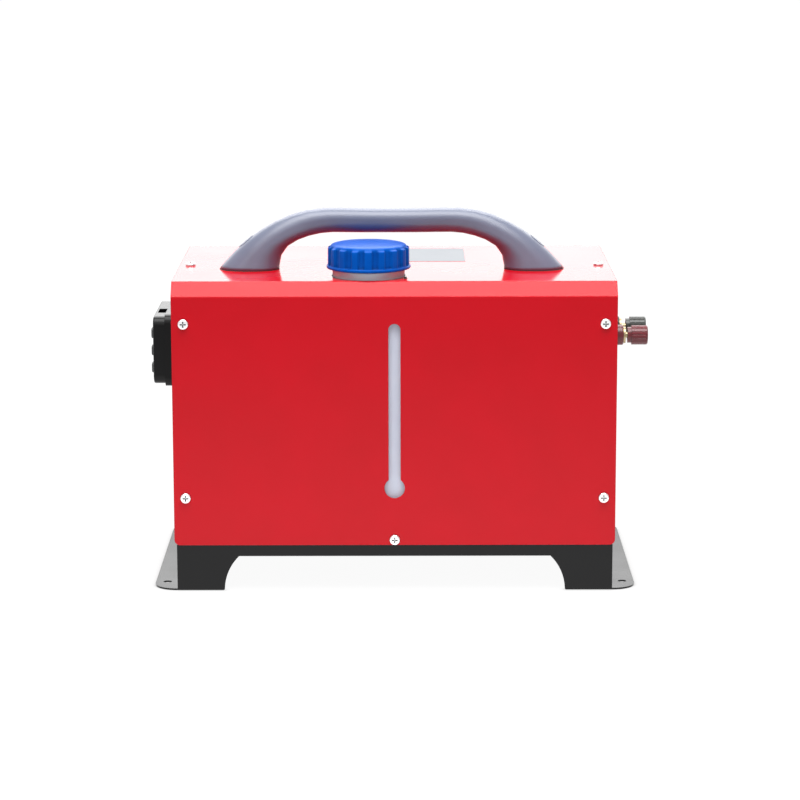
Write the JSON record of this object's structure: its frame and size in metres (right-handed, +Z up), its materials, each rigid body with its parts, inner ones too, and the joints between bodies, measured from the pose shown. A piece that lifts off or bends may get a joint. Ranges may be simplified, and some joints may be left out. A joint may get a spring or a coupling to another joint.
{
  "type": "diesel air heater",
  "caption": "Diesel air heater in a carry case: bent-sheet cover with bevelled edges on an arched base, grip handle, screw-cap fuel tank, level slot, controller and binding posts.",
  "frame": {"origin": "centre of the four mounting holes, on the floor", "axes": "+Z up, +X to the right as seen from the side with the level slot, -Y towards that side"},
  "size_m": [0.4399, 0.2552, 0.33],
  "materials": {
    "red_powder_coat": "gloss powder coat",
    "black_powder_coat": "satin powder coat",
    "zinc_steel": "zinc plated",
    "handle_plastic": "fine moulded texture",
    "milky_plastic": "natural polyethylene",
    "blue_plastic": "moulded",
    "soft_rubber": "black",
    "sheet_aluminium": "rolled",
    "brass_fitting": "machined",
    "clear_plastic": "moulded",
    "plain_steel": "turned",
    "black_plastic": "moulded",
    "cast_aluminium": "as cast",
    "red_plastic": "moulded",
    "display_glass": "dark window",
    "circuit_board": "solder mask",
    "cable_sheath": "smooth sheath"
  },
  "bodies": {
    "case": {"wrap_cover": "red_powder_coat", "left_end_panel": "red_powder_coat", "right_end_panel": "red_powder_coat", "base_tray": "black_powder_coat", "case_screws": "zinc_steel", "handle_screws": "zinc_steel", "handle_nuts": "zinc_steel", "heater_bolts": "zinc_steel", "hose_clamps": "zinc_steel", "post_terminals": "zinc_steel", "handle": "handle_plastic", "handle_screw_caps": "handle_plastic", "fuel_tank": "milky_plastic", "tank_neck": "milky_plastic", "tank_pad": "soft_rubber", "fuel_hoses": "soft_rubber", "pump_mount": "soft_rubber", "mounting_gasket": "soft_rubber", "heat_shield": "sheet_aluminium", "tank_outlet": "brass_fitting", "post_studs": "brass_fitting", "fuel_filter": "clear_plastic", "pump_body": "plain_steel", "fuel_inlet_pipe": "plain_steel", "pipe_stubs": "plain_steel", "burner_chamber": "plain_steel", "glow_plug": "plain_steel", "shaft_bearings": "plain_steel", "motor_case": "plain_steel", "shell_lower": "black_plastic", "shell_upper": "black_plastic", "intake_grille": "black_plastic", "outlet_nozzle": "black_plastic", "control_unit": "black_plastic", "intake_guard": "black_plastic", "controller_base": "black_plastic", "controller_case": "black_plastic", "black_post_base": "black_plastic", "heat_exchanger": "cast_aluminium", "burner_head": "cast_aluminium", "blower_housing": "cast_aluminium", "overheat_sensor": "cast_aluminium", "red_post_base": "red_plastic", "display_lens": "display_glass", "display_board": "circuit_board", "supply_cables": "cable_sheath", "control_cables": "cable_sheath"},
    "cap_seal": {"cap_liner": "soft_rubber"},
    "fuel_cap": {"fuel_cap": "blue_plastic"},
    "red_insert": {"red_knob_insert": "brass_fitting"},
    "red_knob": {"red_knob": "red_plastic"},
    "black_insert": {"black_knob_insert": "brass_fitting"},
    "black_knob": {"black_knob": "black_plastic"},
    "rotor": {"motor_shaft": "plain_steel", "circulation_fan": "black_plastic", "combustion_fan": "black_plastic"},
    "plunger": {"pump_plunger": "plain_steel"},
    "low_button": {"button_low": "black_plastic"},
    "middle_button": {"button_middle": "black_plastic"},
    "high_button": {"button_high": "black_plastic"}
  },
  "joints": [
    {"name": "cap_lift", "type": "slide", "parent": "case", "child": "cap_seal", "axis": [0, 0, 1], "range_m": [0, 0.006]},
    {"name": "cap_turn", "type": "hinge", "parent": "cap_seal", "child": "fuel_cap", "pos_m": [-0.0228, -0.078, 0.2825], "axis": [0, 0, 1], "range_deg": [0, 540]},
    {"name": "red_knob_slide", "type": "slide", "parent": "case", "child": "red_insert", "axis": [1, 0, 0], "range_m": [-0.0018, 0.004]},
    {"name": "red_knob_turn", "type": "hinge", "parent": "red_insert", "child": "red_knob", "pos_m": [0.2054, -0.1, 0.2253], "axis": [1, 0, 0], "range_deg": [-810, 1800]},
    {"name": "black_knob_slide", "type": "slide", "parent": "case", "child": "black_insert", "axis": [1, 0, 0], "range_m": [-0.004, 0.0018]},
    {"name": "black_knob_turn", "type": "hinge", "parent": "black_insert", "child": "black_knob", "pos_m": [0.2076, -0.052, 0.2253], "axis": [1, 0, 0], "range_deg": [-1800, 810]},
    {"name": "rotor_spin", "type": "hinge", "parent": "case", "child": "rotor", "pos_m": [0.1, 0.052, 0.1122], "axis": [1, 0, 0], "continuous": true},
    {"name": "plunger_stroke", "type": "slide", "parent": "case", "child": "plunger", "axis": [-0.9781, 0, 0.2079], "range_m": [0, 0.003], "stiffness_N_per_m": 300},
    {"name": "low_button_press", "type": "slide", "parent": "case", "child": "low_button", "axis": [1, 0, 0], "range_m": [0, 0.001], "stiffness_N_per_m": 400},
    {"name": "middle_button_press", "type": "slide", "parent": "case", "child": "middle_button", "axis": [1, 0, 0], "range_m": [0, 0.001], "stiffness_N_per_m": 400},
    {"name": "high_button_press", "type": "slide", "parent": "case", "child": "high_button", "axis": [1, 0, 0], "range_m": [0, 0.001], "stiffness_N_per_m": 400}
  ],
  "couplings": [
    {"joint": "cap_lift", "follows": "cap_turn", "m_per_rad": 0.00063662},
    {"joint": "red_knob_turn", "follows": "red_knob_slide", "rad_per_m": 7853.9},
    {"joint": "black_knob_turn", "follows": "black_knob_slide", "rad_per_m": 7853.9}
  ]
}
